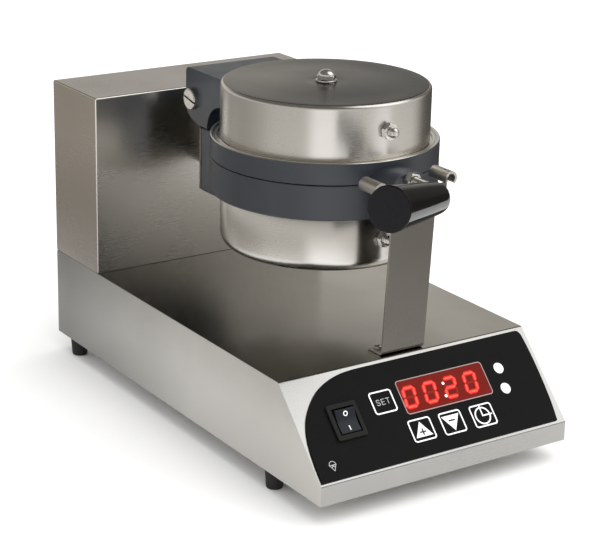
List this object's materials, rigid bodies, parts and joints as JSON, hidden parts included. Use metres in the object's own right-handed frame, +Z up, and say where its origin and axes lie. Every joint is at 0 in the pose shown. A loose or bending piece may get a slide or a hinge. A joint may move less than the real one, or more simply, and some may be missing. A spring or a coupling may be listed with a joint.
{
  "type": "waffle cone maker",
  "caption": "Countertop waffle cone maker: round grid head with a hinged lid on a folded steel base, slanted control panel, rear tower and front support bracket",
  "frame": {"origin": "centre of the overall footprint, at table level", "axes": "+X to the right seen from the control panel, +Y from the panel to the tower, +Z up"},
  "size_m": [0.25, 0.5018, 0.3147],
  "materials": {
    "brushed_steel": "brushed satin",
    "polished_steel": "fine horizontal brush, bright",
    "coated_casting": "fine-grained dark slate coating",
    "grid_iron": "seasoned, matt",
    "bakelite": "gloss",
    "rubber": "matt",
    "overlay_black": "satin",
    "switch_black": "semi-gloss",
    "display_red": "smoked red, clear gloss",
    "lamp_white": "frosted white",
    "chrome_steel": "polished",
    "zinc_screw": "turned",
    "board_green": "solder mask",
    "relay_plastic": "moulded",
    "copper_coil": "varnished",
    "terminal_plastic": "moulded",
    "ceramic_wool": "fibrous",
    "heater_sheath": "heat-darkened",
    "spring_steel": "drawn",
    "cord_black": "matt"
  },
  "bodies": {
    "base": {"base_housing": "brushed_steel", "base_bottom_plate": "brushed_steel", "tower_housing": "brushed_steel", "tower_rear_cover": "brushed_steel", "rear_mount_bracket": "brushed_steel", "front_bracket": "brushed_steel", "lower_shell": "polished_steel", "lower_casting": "coated_casting", "lower_grid_plate": "grid_iron", "foot_front_left": "rubber", "foot_front_right": "rubber", "foot_rear_left": "rubber", "foot_rear_right": "rubber", "control_overlay": "overlay_black", "rocker_bezel": "switch_black", "display_window": "display_red", "indicator_upper": "lamp_white", "indicator_lower": "lamp_white", "lower_side_nut": "chrome_steel", "lower_side_cap": "chrome_steel", "foot_screw_front_left": "zinc_screw", "foot_screw_front_right": "zinc_screw", "foot_screw_rear_left": "zinc_screw", "foot_screw_rear_right": "zinc_screw", "cover_screw_a": "zinc_screw", "cover_screw_b": "zinc_screw", "cover_screw_c": "zinc_screw", "cover_screw_d": "zinc_screw", "bracket_screw_left": "zinc_screw", "bracket_screw_right": "zinc_screw", "control_board": "board_green", "power_relay": "relay_plastic", "transformer": "copper_coil", "terminal_block": "terminal_plastic", "lower_insulation": "ceramic_wool", "lower_heater": "heater_sheath", "hinge_spring_left": "spring_steel", "hinge_spring_right": "spring_steel", "cable_gland": "cord_black", "power_cord": "cord_black"},
    "lid": {"upper_casting": "coated_casting", "upper_shell": "polished_steel", "upper_grid_plate": "grid_iron", "upper_heater": "heater_sheath", "upper_insulation": "ceramic_wool", "lid_washer": "chrome_steel", "lid_dome_nut": "chrome_steel", "upper_side_nut": "chrome_steel", "upper_side_cap": "chrome_steel", "handle_nut": "chrome_steel", "handle_shank": "chrome_steel", "handle_grip": "bakelite", "hinge_pin": "zinc_screw", "hinge_pin_nut": "zinc_screw"},
    "power_rocker": {"power_rocker": "switch_black"},
    "key_set": {"key_set": "overlay_black"},
    "key_up": {"key_up": "overlay_black"},
    "key_down": {"key_down": "overlay_black"},
    "key_timer": {"key_timer": "overlay_black"}
  },
  "joints": [
    {"name": "lid_hinge", "type": "hinge", "parent": "base", "child": "lid", "pos_m": [0, 0.11912, 0.2638], "axis": [-1, 0, 0], "range_deg": [0, 95]},
    {"name": "rocker_pivot", "type": "hinge", "parent": "base", "child": "power_rocker", "pos_m": [-0.0807, -0.18036, 0.06845], "axis": [-1, 0, 0], "range_deg": [0, 16]},
    {"name": "press_set", "type": "slide", "parent": "base", "child": "key_set", "axis": [0, 0.7191, -0.6949], "range_m": [0, 0.0005]},
    {"name": "press_up", "type": "slide", "parent": "base", "child": "key_up", "axis": [0, 0.7191, -0.6949], "range_m": [0, 0.0005]},
    {"name": "press_down", "type": "slide", "parent": "base", "child": "key_down", "axis": [0, 0.7191, -0.6949], "range_m": [0, 0.0005]},
    {"name": "press_timer", "type": "slide", "parent": "base", "child": "key_timer", "axis": [0, 0.7191, -0.6949], "range_m": [0, 0.0005]}
  ]
}
